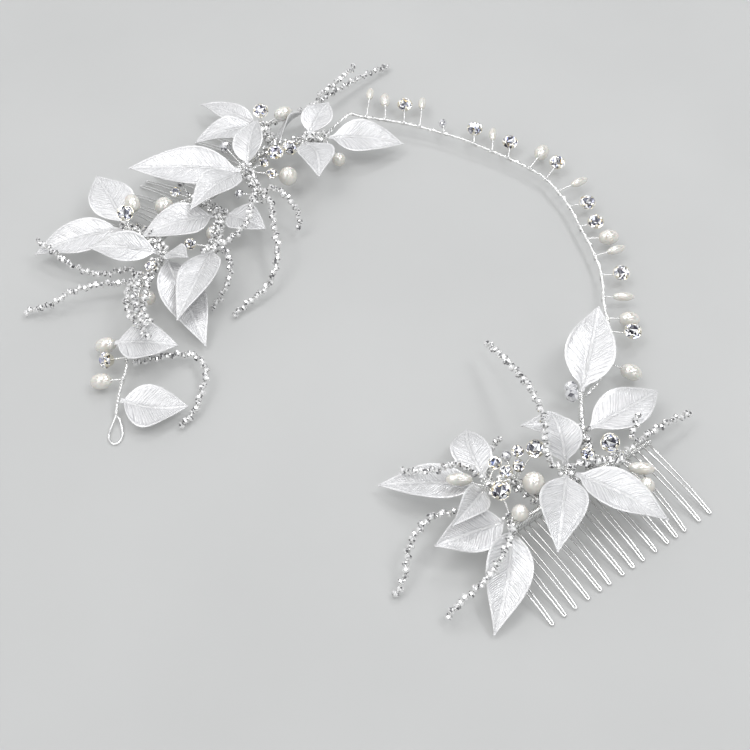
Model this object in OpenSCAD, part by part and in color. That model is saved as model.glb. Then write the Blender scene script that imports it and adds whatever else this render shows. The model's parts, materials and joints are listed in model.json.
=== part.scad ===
// Bridal hair vine: two combs with wired leaves, stones, pearls and bead sprays,
// joined by a twisted wire that carries drops and lies in a horseshoe.
// Millimetres. +Z is up, and the vine lies on the plane z = 0.

/* [Leaves] */
// Thickness of a leaf
leaf_t = 0.8; // [0.6:0.1:1]
// Width of a leaf where its stem is soldered on
leaf_root_w = 1.8; // [1.4:0.1:2.2]
// Width left at the point of a leaf
leaf_point_w = 0.7; // [0.5:0.1:1]

/* [Beads] */
// Diameter of a string of seed beads
seed_d = 2.7; // [2.2:0.1:2.8]
// Diameter of a large stone in its cup
stone_d = 6.4; // [5.6:0.1:6.6]
// Diameter of a small stone in its cup
small_stone_d = 4.4; // [4:0.1:4.8]
// Height of a stone as a share of its diameter
stone_tall = 0.62; // [0.5:0.02:0.7]

/* [Wires] */
// Diameter of the twisted vine wire
vine_d = 1.2; // [1:0.1:1.4]
// Diameter of the bare wire of the eye
eye_d = 0.8; // [0.6:0.1:1]
// Diameter of a drop's twisted stem
stem_d = 0.7; // [0.6:0.1:0.9]
// Diameter of the thread that the drops are wound on with
thread_d = 0.6; // [0.5:0.1:0.7]
// Diameter of the winding that a drop's stem starts from
winding_d = 1.2; // [1.1:0.1:1.3]
// Diameter of the binding along a comb
binding_d = 3; // [2.6:0.1:3.2]
// Diameter of a stalk of bound stems
stalk_d = 2; // [1.6:0.1:2.2]
// Diameter of the knot that a group of leaves starts from
knot_d = 3; // [2.6:0.1:3.2]

/* [Combs] */
// Length of a comb's spine
comb_w = 70; // [60:1:72]
// Number of hairpin teeth
comb_teeth = 15; // [12:1:16]
// Diameter of a tooth's wire
tooth_d = 0.8; // [0.7:0.1:0.9]
// Distance between the two legs of a tooth
tooth_gap = 2.2; // [2:0.1:2.6]
// Radius of the curve of a tooth
tooth_curve_r = 95; // [90:1:110]
// Angle that a tooth curves through
tooth_angle = 18; // [16:0.5:18]
// Diameter of the spine wire
spine_d = 1.8; // [1.6:0.1:2]

/* [Hidden] */
$fn = 32;

// Clearance between pieces that meet
gap = 0.25;

// Middle of the outline in the grid that the tables below are drawn on
mid_x = 1;
mid_y = 7.3;

// Height of a comb's spine, from its curved teeth lying on the plane
spine_z = tooth_d / 2 + tooth_curve_r * (1 - cos(tooth_angle))
    + tooth_gap / 2 * sin(tooth_angle);
// Height of the binding, which lies on the spine
binding_z = spine_z + (spine_d + binding_d) / 2 + gap;

// Combs: middle of the spine, direction of the spine
RIGHT_COMB = [[71, -79.5], 36.87];
LEFT_COMB = [[-54, 54], 233.13];

// A point on the binding of a comb, this far along it from the middle
function on_comb(comb, along) = [
    comb[0].x + along * cos(comb[1]),
    comb[0].y + along * sin(comb[1]),
    binding_z
];

// Knots: name, place, diameter. The first letter is the cluster's, or t for a place on the tail wire.
KNOTS = [
    ["right_vine", [78, -41, 7], knot_d],
    ["right_stalk", [77, -57, 8], knot_d],
    ["right_mid", [70, -74, 11], knot_d],
    ["right_end", [87, -68, 9], knot_d],
    ["right_front", [52, -91, 8.5], knot_d],
    ["right_left", [45, -79, 9], knot_d],
    ["right_stones", [54, -76, 8], knot_d],
    ["left_back", [-35, 96, 7], knot_d],
    ["left_fan", [-38.5, 65, 11.5], knot_d],
    ["left_sprays", [-33, 53, 10], knot_d],
    ["left_mid", [-47, 44, 9], knot_d],
    ["left_inner", [-48, 27, 9], knot_d],
    ["left_front", [-66, 23, 10], knot_d],
    ["left_out", [-81, 37.5, 8], knot_d],
    ["left_tail", [-72, 13, 7], knot_d],
    ["left_stub", [-28, 82, 8], knot_d],
    ["left_teeth", [-59, 53, 8.5], knot_d],
    ["left_pair", [-17, 84.5, 10], knot_d],
    ["left_vine", [-10, 88, 8.5], knot_d],
    ["tail_wire_a", [-79.5, -18.3, 7.8], vine_d],
    ["tail_wire_b", [-75.7, -40, 3.5], vine_d]
];

// Leaves: name, knot, tip, width, roll, arch, fold, sway, distance of the stem end from the knot
LEAVES = [
    ["leaf_r1", "right_vine", [86, -10, 17], 17, -5, 3, 1.5, 0, 0],
    ["leaf_r2", "right_stalk", [104, -38, 6], 16, 0, 4, 1.5, 2, 0.6],
    ["leaf_r3", "right_mid", [100, -91, 8], 15, 0, 4, 1.5, 1, 1.3],
    ["leaf_r4", "right_mid", [64, -107, 15], 15, 0, 3, 1.5, 0, 0.6],
    ["leaf_r5", "right_mid", [66, -56, 17], 13, 0, 5, 1.5, 0, 0],
    ["leaf_r6", "right_stalk", [57, -56.5, 11], 10, 0, 2, 1, 0, 0],
    ["leaf_r7", "right_left", [40, -53, 4], 13, 0, 3, 1, -2, 2.1],
    ["leaf_r8", "right_left", [11, -75, 4], 12, 10, 3, 1.5, 0, 0.4],
    ["leaf_r9", "right_left", [33, -99, 17], 9, 25, 3, 2, 0, 0.6],
    ["leaf_r10", "right_front", [28, -101, 9], 14, 20, 2, 1.5, 0, 0.3],
    ["leaf_r11", "right_front", [45, -127, 1.5], 14.5, 8, 4, 1.5, -1, 0.9],
    ["leaf_l1", "left_back", [-60, 111, 6], 10, 0, 2, 1, 0, 0.4],
    ["leaf_l2", "left_back", [-60, 85, 8], 13, 0, 3, 1.5, 0, 0],
    ["leaf_l3", "left_fan", [-35.5, 89, 16], 13, 20, 3, 2, 0, 0.6],
    ["leaf_l4", "left_fan", [-83, 66, 12], 17, 15, 2.5, 1.5, 0, 0.6],
    ["leaf_l5", "left_fan", [-57, 39, 16], 14, 0, 4, 1.5, 0, 1.2],
    ["leaf_l6", "left_mid", [-75, 32, 9], 15, 10, 3, 1.5, 0, 1],
    ["leaf_l7", "left_mid", [-30, 36, 9], 14, 0, 2, 1, 0, 0],
    ["leaf_l8", "left_out", [-95, 62.5, 11], 17, 0, 2, 1, 0, 0.6],
    ["leaf_l9", "left_out", [-114, 28, 4], 15, 10, 3, 1.5, 0, 0],
    ["leaf_l10", "left_front", [-93, 24, 11.5], 12, 20, 3, 1.5, 0, 0.4],
    ["leaf_l11", "left_front", [-56, 15, 15.5], 9, 0, 1, 1, 0, 0.6],
    ["leaf_l12", "left_inner", [-58, -10, 10], 15, -12, 4, 1.5, -2, 0.4],
    ["leaf_l13", "left_front", [-48.5, -15, 2.5], 16, 0, 2, 1.5, 0, 0.6],
    ["leaf_l14", "left_vine", [21, 88, 5], 15, -15, 3, 1.5, 0, 0.4],
    ["leaf_l15", "left_pair", [-8.5, 106, 11], 12.5, 0, 2, 1.5, 0, 1.3],
    ["leaf_l16", "left_pair", [-11, 59, 14], 14, 0, 2, 1, -2, 0],
    ["leaf_l17", "left_stub", [-18, 101.5, 10], 9, 60, 3, 1.5, 0, 0.4],
    ["leaf_t1", "tail_wire_a", [-57, -20.5, 9], 17, 0, 1.5, 1, 0, 0],
    ["leaf_t2", "tail_wire_b", [-52, -43, 4], 17, -5, 1, 1, 2, 0.1]
];

// Sprays: name, knot that the string starts from, or "" where it starts at its first point,
// distance of its end from the knot, route
SPRAYS = [
    ["spray_r1", "right_mid", 1, [[65, -73.5, 14], [63, -71.5, 19], [62.5, -66, 24], [61, -57, 24],
        [58, -46, 21], [53, -33, 16], [48, -21, 11]]],
    ["spray_r2", "right_end", 0, [[91, -65, 10], [96, -61, 11], [104, -54, 9], [114, -47, 6]]],
    ["spray_r2_fork", "", 0, [[91, -63.5, 12.9], [93, -59, 14.3], [94, -54, 14.3]]],
    ["spray_r3", "right_left", 1, [[41, -76, 13], [35, -76, 17], [29, -77, 15], [18, -74, 10]]],
    ["spray_r4", "right_left", 1.2, [[36.5, -85.5, 5.5], [28, -90, 9], [23, -96, 10], [20, -102, 8],
        [19, -109, 5], [16, -114, 1.5]]],
    ["spray_r5", "right_front", 1.2, [[51.5, -97, 13], [50, -103, 15], [47, -109, 14.5],
        [43, -114, 12], [37, -118, 8], [31, -122, 3]]],
    ["spray_r6", "right_left", 0.6, [[46.5, -72, 4], [45.5, -66, 3.5], [47.5, -60.5, 4.5],
        [51, -57.5, 6]]],
    ["spray_r7", "right_mid", 0, [[75, -73, 13.5], [81.5, -72.5, 14], [88, -72, 13]]],
    ["spray_l1", "left_back", 0.3, [[-27, 102, 6], [-18, 107, 7], [-9, 116, 6.5], [0, 126, 5.5],
        [8, 134, 4], [16, 141, 2.5]]],
    ["spray_l1_fork", "", 0, [[-13, 112, 9.7], [-7, 118, 10.4], [-2, 123, 12], [2, 127, 13]]],
    ["spray_l2", "left_sprays", 1, [[-28, 53.5, 13.5], [-24, 50.5, 13.5], [-21, 47.5, 12],
        [-18.5, 45, 9], [-18, 41, 4]]],
    ["spray_l3", "left_sprays", 0.6, [[-28.5, 47.5, 12], [-27, 36, 13], [-25, 23, 9], [-28, 12, 5],
        [-35, 5, 3], [-40, 0, 1.5]]],
    ["spray_l4", "left_sprays", 0.6, [[-35, 48, 13.5], [-36, 33, 16], [-40, 26, 16], [-44, 23, 15],
        [-52, 21, 13]]],
    ["spray_l5", "left_inner", 0, [[-44, 23, 11.5], [-42, 18, 12.5], [-41, 13, 12], [-42, 9, 9],
        [-45, 5, 5], [-48, 3, 2]]],
    ["spray_l6", "left_tail", 0.6, [[-79, 18, 6.5], [-87, 17, 5], [-95, 18, 6], [-102, 21, 8.5],
        [-108, 26, 9.5], [-113, 30, 9]]],
    ["spray_l7", "left_tail", 1.2, [[-78, 10.5, 7.5], [-88, 9, 8], [-98, 6, 7], [-103, 3, 5],
        [-114, 1, 2]]],
    ["spray_l8a", "left_tail", 2.2, [[-75.5, 7.5, 11.5], [-76, -2, 12], [-73, -12, 14], [-66, -21, 13]]],
    ["spray_l8b", "left_tail", 0.6, [[-70, 8, 10.5], [-70, -2, 12], [-69, -10, 14],
        [-66, -14.5, 14]]],
    ["spray_l8c", "", 0, [[-72.8, 6.5, 14], [-73, -2, 14.3], [-71, -11, 17], [-66.8, -18, 16.5]]],
    ["spray_l9", "", 0, [[-72.2, -25.3, 5.2], [-68.5, -22.8, 4], [-62, -20.5, 3.5], [-55, -19.5, 3.5],
        [-50.8, -21.3, 4], [-47.6, -26.7, 5], [-46.9, -31.5, 5], [-48, -37, 4.5], [-49.7, -43.7, 3],
        [-54.3, -49.7, 1.5]]]
];

// Route of the vine wire, from the left cluster round to the right one
VINE = [
    [-9.3, 89.8, 8.2], [-5, 98, 7], [0, 104.5, 6.5], [4, 103.5, 6], [11, 102, 6], [19, 100, 6],
    [27, 97.5, 6], [34, 95, 5.5], [42, 91.5, 5.5], [48, 88, 5.5], [55, 84, 5], [61, 80, 5],
    [69, 74, 5], [75, 68, 5], [79, 61, 5], [83, 52, 5], [86, 41, 5], [89, 30, 5], [91, 19, 5],
    [91, 9, 5], [90.5, 2, 5], [91, -5, 5], [91, -12, 5.5], [90, -20, 5.5], [88, -26, 6],
    [85.5, -32.5, 5.5], [79.9, -40.1, 6.2]
];

// Route of the tail wire, and of the eye that its bare end is bent into
TAIL = [
    [-73.3, 10.5, 6.5], [-73.7, 3, 6.5], [-73.5, -7, 6.5], [-73.6, -16, 6.5], [-74, -24, 6],
    [-74.2, -29, 5.5], [-75.2, -34.5, 4.5], [-75.7, -40, 3.5], [-76, -45, 1.6]
];
EYE = [
    [-77, -49, 1], [-77.6, -52.5, 0.6], [-76.8, -55, 0.5], [-75.3, -56, 0.5],
    [-73.8, -55, 0.5], [-73.1, -52.5, 0.6], [-73.8, -48.8, 1], [-74.8, -46.2, 1.6]
];

// Kinds of bead: name, diameter, length
BEADS = [
    ["stone", stone_d, stone_d * stone_tall],
    ["small_stone", small_stone_d, small_stone_d * stone_tall],
    ["crystal", 3.6, 3.6],
    ["large_crystal", 4.8, 4.8],
    ["slim_pearl", 3.2, 8],
    ["rice_pearl", 4.2, 8.6],
    ["oval_pearl", 5.6, 7.8],
    ["round_pearl", 7.2, 7.2],
    ["small_pearl", 5.4, 5.4]
];

// Drops on the wires: kind, place along the route in points, middle of the bead, and the direction
// that a stone faces where it isn't the usual one
BACK_DROPS = [
    ["slim_pearl", 3.4, [8, 119, 5]],
    ["rice_pearl", 4.4, [14, 115, 5]],
    ["stone", 5.3, [22, 112, 5]],
    ["slim_pearl", 6.1, [29, 113, 5]],
    ["crystal", 7.4, [37, 100.5, 5]],
    ["stone", 9.1, [49.5, 97, 5]],
    ["slim_pearl", 10.1, [56.5, 94, 5]],
    ["stone", 11.1, [63, 89, 5]]
];
SIDE_DROPS = [
    ["oval_pearl", 12.1, [75, 83, 5]],
    ["stone", 13.1, [80.5, 77, 5]],
    ["slim_pearl", 14.1, [88, 66, 5]],
    ["stone", 15, [90, 54.5, 5]],
    ["stone", 16, [92, 44, 5]],
    ["oval_pearl", 16.6, [96, 36, 5]],
    ["slim_pearl", 17.4, [98, 29.5, 5]],
    ["stone", 18.3, [98.5, 17.5, 5]],
    ["slim_pearl", 19.5, [98, 6, 5]],
    ["oval_pearl", 21, [99, -4, 4]],
    ["stone", 22, [99, -11.5, 6]],
    ["oval_pearl", 24, [96.5, -29, 5]]
];
TAIL_DROPS = [
    ["oval_pearl", 3, [-82.6, -16.5, 4.5]],
    ["stone", 4, [-81.2, -24, 5.5], [-0.8, -0.5, 0.6]],
    ["oval_pearl", 5.7, [-82.2, -32.2, 4]]
];

// Beads wired into a cluster: kind, point that the stem starts at, middle, direction it faces
RIGHT_BEADS = [
    ["stone", "right_stones", [60.6, -67, 12.5], [0, -0.4, 1]],
    ["small_stone", "right_left", [47.5, -72.8, 13], [-0.3, -0.5, 1]],
    ["small_stone", "right_stones", [55, -67.6, 12], [0, -0.2, 1]],
    ["small_stone", "right_stones", [54.7, -74.3, 13.5], [0.4, -0.5, 1]],
    ["small_stone", "right_stones", [50.6, -77.3, 14.5], [-0.2, -0.5, 1]],
    ["crystal", "right_stones", [51.2, -69.6, 12.2], [0, 0, 1]],
    ["stone", "right_front", [48.5, -84, 14], [0, -0.6, 1]],
    ["small_stone", "right_end", [77, -68, 11.5], [-0.2, -0.3, 1]],
    ["stone", "right_end", [84, -66, 14.5], [0, -0.6, 1]],
    ["large_crystal", "right_vine", [74.3, -45.1, 12.6], [0, 0, 1]],
    ["large_crystal", "right_vine", [74.6, -39.6, 9.6], [0, 0, 1]],
    ["round_pearl", "right_stones", [59, -80.5, 13], [0, 0, 1]],
    ["small_pearl", "right_front", [54, -92, 13.5], [0, 0, 1]],
    ["rice_pearl", "right_left", [36, -79.5, 13.5], [1, 0, 0]],
    ["rice_pearl", "right_end", [94, -72, 9], [1, -0.1, 0]],
    ["small_pearl", "right_end", [95, -78, 8], [0, 0, 1]]
];
LEFT_BEADS = [
    ["stone", "left_back", [-35, 99.5, 12], [0, -0.4, 1]],
    ["oval_pearl", "left_back", [-26, 98, 12], [1, 0.5, 0]],
    ["large_crystal", "left_fan", [-48, 82, 8.6], [0, 0, 1]],
    ["stone", "left_stub", [-28, 75, 12], [0, -0.4, 1]],
    ["stone", "left_stub", [-23, 81, 9], [0.3, -0.3, 1]],
    ["small_stone", "left_fan", [-29, 64, 11], [0.3, -0.4, 1]],
    ["round_pearl", "left_fan", [-23, 66, 8], [0, 0, 1]],
    ["small_pearl", "left_vine", [-4, 79.5, 4.5], [0, 0, 1]],
    ["crystal", "left_sprays", [-41, 55, 9], [0, 0, 1]],
    ["stone", "left_out", [-80.5, 37, 16], [0, -0.5, 1]],
    ["oval_pearl", "left_out", [-79, 44.5, 14], [-0.4, 1, 0.2]],
    ["round_pearl", "left_teeth", [-68, 47, 10], [0, 0, 1]],
    ["small_stone", "left_teeth", [-65, 57, 8], [0, -0.3, 1]],
    ["crystal", "left_teeth", [-63.5, 61.5, 9], [0, 0, 1]],
    ["small_stone", "left_fan", [-32.5, 72.5, 9], [0.4, -0.3, 1]],
    ["small_pearl", "left_mid", [-49.5, 36, 7], [0, 0, 1]],
    ["small_stone", "left_inner", [-56.5, 25.8, 11.5], [0.4, -0.8, 1]],
    ["small_stone", "left_front", [-70, 17, 9], [0, -0.3, 1]],
    ["small_pearl", "left_tail", [-70, 4.5, 6], [0, 0, 1]]
];

// Stalks of each cluster, from knot to knot
RIGHT_STALKS = [
    ["right_vine", "right_stalk"],
    ["right_stones", "right_left"]
];
LEFT_STALKS = [
    ["left_stub", "left_pair"],
    ["left_pair", "left_vine"],
    ["left_stub", "left_back"],
    ["left_fan", "left_sprays"],
    ["left_mid", "left_inner"],
    ["left_front", "left_tail"]
];
// Stalks that stand on the binding: knot, distance along the comb from its middle
RIGHT_POSTS = [["right_stalk", 10], ["right_mid", 2], ["right_end", 20], ["right_stones", -10],
    ["right_front", -22]];
LEFT_POSTS = [["left_stub", -28], ["left_fan", -20], ["left_mid", 1], ["left_teeth", 0],
    ["left_front", 28], ["left_out", 26]];

function unit(v) = v / norm(v);
function row_of(table, name) = table[search([name], table)[0]];
function knot(name) = row_of(KNOTS, name)[1];
function knot_r(name) = row_of(KNOTS, name)[2] / 2;

// Point a share s of the way along the smooth curve from b to c, with a and d beside them
function curve(a, b, c, d, s) = b + s / 2 * (c - a
    + s * (2 * a - 5 * b + 4 * c - d + s * (3 * b - a - 3 * c + d)));

// Point of the smooth curve through a route, at t points along it
function along(route, t) = let (
    last = len(route) - 1,
    i = min(floor(t), last - 1),
    before = i > 0 ? route[i - 1] : 2 * route[0] - route[1],
    after = i + 2 <= last ? route[i + 2] : 2 * route[last] - route[last - 1]
) curve(before, route[i], route[i + 1], after, t - i);

// The route with points added between its own, this many steps to each stretch
function smooth(route, steps) = [for (k = [0:(len(route) - 1) * steps]) along(route, k / steps)];

module placed() {
    translate([-mid_x, -mid_y, 0]) children();
}

// A rod from a towards b that stops this far inside the bodies at its two ends
module rod(a, b, d, inside) {
    v = b - a;
    translate(a)
        rotate([0, acos(v.z / norm(v)), atan2(v.y, v.x)])
            translate([0, 0, inside]) cylinder(d = d, h = norm(v) - 2 * inside);
}

// Turns a body's +Z to a direction, and the body about it, so that its seam lies clear of its stem's
module facing(direction) {
    rotate([0, acos(direction.z / norm(direction)), atan2(direction.y, direction.x)])
        rotate([0, 0, 50]) children();
}

// A tube of 8 sides along points, with a diameter for each, closed by a point at both ends
module tube(points, diameters) {
    sides = 8;
    last = len(points) - 1;
    rings = [for (i = [0:last])
        let (
            tangent = unit(points[min(i + 1, last)] - points[max(i - 1, 0)]),
            side = unit(cross(tangent, [0, 0, 1])),
            up = cross(side, tangent)
        )
        for (k = [0:sides - 1])
            points[i] + diameters[i] / 2 * (side * cos(360 * k / sides) + up * sin(360 * k / sides))
    ];
    count = len(rings);
    walls = [for (i = [0:last - 1], k = [0:sides - 1])
        let (a = i * sides + k, b = i * sides + (k + 1) % sides)
        for (face = [[a, b, b + sides], [a, b + sides, a + sides]]) face
    ];
    start = [for (k = [0:sides - 1]) [count, (k + 1) % sides, k]];
    end = [for (k = [0:sides - 1]) [count + 1, last * sides + k, last * sides + (k + 1) % sides]];
    polyhedron(concat(rings, [points[0], points[last]]), concat(walls, start, end));
}

// Half the width of a leaf of this width, a share u of the way from its stem to its point
function leaf_half(width, u) = max(
    (u < 0.5 ? leaf_root_w : leaf_point_w) / 2,
    width / 2 * pow(max(0, sin(180 * pow(max(0, u - 0.06) / 0.94, 0.75))), 0.9)
        * (1 - 0.3 * pow(u, 4))
);

// A leaf: arched from its stem to its point, folded along its midrib and swayed to one side
module leaf(row) {
    shares = [0, 0.06, 0.14, 0.24, 0.34, 0.45, 0.56, 0.67, 0.78, 0.89, 1];
    across = [-1, -0.5, 0, 0.5, 1];
    centre = knot(row[1]);
    tip = row[2];
    width = row[3];
    roll = row[4];
    arch = row[5];
    fold = row[6];
    sway = row[7];
    axis = unit(tip - centre);
    root = centre + axis * (knot_r(row[1]) + gap + row[8]);
    length = norm(tip - root);
    flat = unit(cross(axis, [0, 0, 1]));
    side = flat * cos(roll) + cross(flat, axis) * sin(roll);
    normal = cross(side, axis);
    m = len(shares);
    n = len(across);
    sheets = [for (face = [1, -1], u = shares, v = across)
        root + axis * length * u
        + side * (leaf_half(width, u) * v + sway * sin(180 * u))
        + normal * (arch * sin(180 * u) + fold * sin(180 * u) * (abs(v) - 0.5) + face * leaf_t / 2)
    ];
    half = m * n;
    top = [for (i = [0:m - 2], j = [0:n - 2])
        let (a = i * n + j)
        for (face = [[a, a + n, a + n + 1], [a, a + n + 1, a + 1]]) face
    ];
    bottom = [for (face = top) [face[0] + half, face[2] + half, face[1] + half]];
    rim = concat(
        [for (j = [0:n - 2]) [j, j + 1]],
        [for (i = [0:m - 2]) [i * n + n - 1, i * n + 2 * n - 1]],
        [for (j = [n - 1:-1:1]) [half - n + j, half - n + j - 1]],
        [for (i = [m - 1:-1:1]) [i * n, i * n - n]]
    );
    edge = [for (e = rim)
        for (face = [[e[0], e[1], e[1] + half], [e[0], e[1] + half, e[0] + half]]) face
    ];
    color("snow") polyhedron(sheets, concat(top, bottom, edge));
}

module spray(row) {
    route = row[3];
    start = row[1] == "" ? [] : [knot(row[1])
        + unit(route[0] - knot(row[1])) * (knot_r(row[1]) + gap + row[2])];
    points = smooth(concat(start, route), 3);
    color("lightgray") tube(points, [for (p = points) seed_d]);
}

// A stone in its cup: a tapered cup, a straight girdle and a crown cut flat on top
module stone(d, h) {
    translate([0, 0, -h / 2]) rotate_extrude()
        polygon([[0, 0], [0.28 * d, 0], [0.5 * d, 0.5 * h], [0.5 * d, 0.68 * h], [0.3 * d, h], [0, h]]);
}

// A pearl drilled along its length, as a turned oval
module pearl(d, h) {
    steps = 12;
    rotate_extrude() polygon([for (i = [0:steps])
        let (a = 180 * i / steps)
        [i == 0 || i == steps ? 0 : d / 2 * sin(a), -h / 2 * cos(a)]
    ]);
}

module bead(kind) {
    row = row_of(BEADS, kind);
    if (kind == "stone" || kind == "small_stone") color("white") stone(row[1], row[2]);
    else if (row[1] == row[2]) color("ivory") sphere(d = row[1]);
    else color("ivory") pearl(row[1], row[2]);
}

// Drops wound on along a wire: the thread goes over the wire from foot to foot
module drops(route, rows) {
    over = [0, 0, (vine_d + winding_d) / 2 + gap];
    feet = [for (row = rows) along(route, row[1]) + over];
    for (i = [0:len(rows) - 1]) {
        centre = rows[i][2];
        stem = centre - feet[i];
        outward = rows[i][0] == "stone" ? [0, -0.3, 1] : stem;
        color("silver") translate(feet[i])
            rotate([0, 0, atan2(stem.y, stem.x) + 180]) sphere(d = winding_d);
        color("silver") rod(feet[i], centre, stem_d, 0.2);
        translate(centre) facing(is_undef(rows[i][3]) ? outward : rows[i][3]) bead(rows[i][0]);
        if (i > 0) color("silver") rod(feet[i - 1], feet[i], thread_d, 0.2);
    }
}

// A cluster: the binding along its comb, its knots, the stalks between them, and its beads
module bundle(side, comb, ends, posts, stalks, beads) {
    color("silver") {
        rod(on_comb(comb, ends[0]), on_comb(comb, ends[1]), binding_d, 0);
        for (row = KNOTS) if (row[0][0] == side) translate(row[1]) sphere(d = row[2]);
        for (post = posts) rod(on_comb(comb, post[1]), knot(post[0]), stalk_d, 0.5);
        for (stalk = stalks) rod(knot(stalk[0]), knot(stalk[1]), stalk_d, 0.5);
        for (row = beads) rod(knot(row[1]), row[2], stem_d, 0.5);
    }
    for (row = beads) translate(row[2]) facing(row[3]) bead(row[0]);
}

// A hairpin tooth from the origin along +X: two curved legs and a round end, which stop just inside
// the drops of solder that join them
module tooth() {
    solder_d = tooth_d + 0.1;
    leg_angle = tooth_angle - 0.05;
    end_inset = 3;
    for (y = [-tooth_gap / 2, tooth_gap / 2])
        translate([0, y, -tooth_curve_r]) rotate([90, 0, 0]) rotate([0, 0, 90 - leg_angle])
            rotate_extrude(angle = leg_angle) translate([tooth_curve_r, 0]) circle(d = tooth_d);
    translate([tooth_curve_r * sin(tooth_angle), 0, tooth_curve_r * (cos(tooth_angle) - 1)])
        rotate([0, tooth_angle, 0]) {
            rotate([0, 0, end_inset - 90]) rotate_extrude(angle = 180 - 2 * end_inset)
                translate([tooth_gap / 2, 0]) circle(d = tooth_d);
            for (y = [-tooth_gap / 2, tooth_gap / 2])
                translate([0, y, 0]) rotate([0, 0, 90]) sphere(d = solder_d);
        }
}

// A comb: the spine lies along +X before it is turned, with the teeth to its right
module comb(place) {
    pitch = comb_w / comb_teeth;
    color("silver") translate([place[0].x, place[0].y, spine_z]) rotate([0, 0, place[1]]) {
        translate([-comb_w / 2, 0, 0]) rotate([0, 90, 0]) cylinder(d = spine_d, h = comb_w);
        for (i = [0:comb_teeth - 1])
            translate([pitch * (i + 0.5 - comb_teeth / 2), 0, 0]) rotate([0, 0, -90]) tooth();
    }
}

module comb_right() placed() comb(RIGHT_COMB);

module comb_left() placed() comb(LEFT_COMB);

module vine_wire() placed() {
    points = smooth(VINE, 2);
    color("silver") tube(points, [for (p = points) vine_d]);
}

module tail_wire() placed() {
    steps = 3;
    points = smooth(concat(TAIL, EYE), steps);
    bare = (len(TAIL) - 1) * steps;
    color("silver") tube(points, [for (i = [0:len(points) - 1]) i <= bare ? vine_d : eye_d]);
}

module right_bundle() placed()
    bundle("r", RIGHT_COMB, [-22, 20], RIGHT_POSTS, RIGHT_STALKS, RIGHT_BEADS);

module left_bundle() placed()
    bundle("l", LEFT_COMB, [-31, 31], LEFT_POSTS, LEFT_STALKS, LEFT_BEADS);

module vine_drops_back() placed() drops(VINE, BACK_DROPS);

module vine_drops_side() placed() drops(VINE, SIDE_DROPS);

module tail_drops() placed() drops(TAIL, TAIL_DROPS);

comb_right();
comb_left();
vine_wire();
tail_wire();
right_bundle();
left_bundle();
vine_drops_back();
vine_drops_side();
tail_drops();
for (row = LEAVES) placed() leaf(row);
for (row = SPRAYS) placed() spray(row);
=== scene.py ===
import json
import math
import bpy
import numpy as np
from mathutils import Matrix, Vector

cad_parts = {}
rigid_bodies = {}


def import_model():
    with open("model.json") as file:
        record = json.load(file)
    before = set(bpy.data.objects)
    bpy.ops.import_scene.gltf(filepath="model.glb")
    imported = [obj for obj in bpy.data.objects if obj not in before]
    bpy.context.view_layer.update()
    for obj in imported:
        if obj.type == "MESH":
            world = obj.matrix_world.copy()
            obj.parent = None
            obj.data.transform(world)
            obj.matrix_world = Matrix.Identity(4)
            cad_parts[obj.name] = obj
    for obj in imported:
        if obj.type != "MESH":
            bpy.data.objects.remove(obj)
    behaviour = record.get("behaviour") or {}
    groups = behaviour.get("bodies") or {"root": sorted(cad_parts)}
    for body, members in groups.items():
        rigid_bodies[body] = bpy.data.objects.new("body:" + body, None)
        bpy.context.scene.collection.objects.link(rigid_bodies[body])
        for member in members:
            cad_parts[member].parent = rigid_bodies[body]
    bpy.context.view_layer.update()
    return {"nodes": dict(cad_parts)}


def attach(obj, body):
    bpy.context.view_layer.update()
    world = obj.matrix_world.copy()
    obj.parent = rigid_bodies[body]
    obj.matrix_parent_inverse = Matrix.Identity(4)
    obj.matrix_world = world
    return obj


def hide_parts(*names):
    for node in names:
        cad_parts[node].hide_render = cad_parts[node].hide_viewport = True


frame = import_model()
print("frame loaded:", len(frame["nodes"]), "nodes")

mm = 0.001
gridMid = np.array([1, 7.3, 0])  # middle of the outline on the drawing grid, mm
pieceGap = 0.25  # clearance that the frame leaves between pieces, mm
draws = np.random.default_rng(7)
anyTurn = 6.28  # a whole turn, the range of the random turns, radians
creaseDeg = 60  # an edge that bends less than this is shaded smooth
meetsWithin = 1e-6  # points this near each other are one point, m
routeSteps = 8  # points that a smooth curve has for each one of a short route
wireSteps = 12  # the same for the two long wires


def unit(v):
    v = np.asarray(v, float)
    return v / np.linalg.norm(v)


def inMetres(points):
    return (np.asarray(points, float) - gridMid) * mm


def toMode(mode):
    bpy.ops.object.mode_set(mode=mode)


def named(name):  # names what was just added
    piece = bpy.context.object
    piece.name = piece.data.name = name
    return piece


def rowsOf(parts, name):  # three numbers for each part of a mesh
    values = np.empty(len(parts) * 3, np.float32)
    parts.foreach_get(name, values)
    return values.reshape(-1, 3).astype(float)


def faceOutwards():  # the last step in edit mode
    bpy.ops.mesh.select_all(action="SELECT")
    bpy.ops.mesh.normals_make_consistent(inside=False)
    toMode("OBJECT")


def deselect():
    if bpy.context.object and bpy.context.object.mode != "OBJECT":
        toMode("OBJECT")
    bpy.ops.object.select_all(action="DESELECT")


def pick(*pieces):
    deselect()
    for piece in pieces:
        piece.select_set(True)
    bpy.context.view_layer.objects.active = pieces[0]


def smoothRoute(route, steps):  # a smooth curve through the points
    points = np.array(route, float)
    points = np.vstack([2 * points[0] - points[1], points, 2 * points[-1] - points[-2]])
    share = np.arange(steps)[:, None] / steps
    parts = []
    for a, b, c, d in zip(points, points[1:], points[2:], points[3:]):
        parts.append(b + share / 2 * (c - a + share * (2 * a - 5 * b + 4 * c - d
                                                      + share * (3 * b - a - 3 * c + d))))
    return np.vstack(parts + [points[-2:-1]])


def reachAlong(points):  # how far each point is along the route
    return np.r_[0, np.cumsum(np.linalg.norm(np.diff(points, axis=0), axis=1))]


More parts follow.
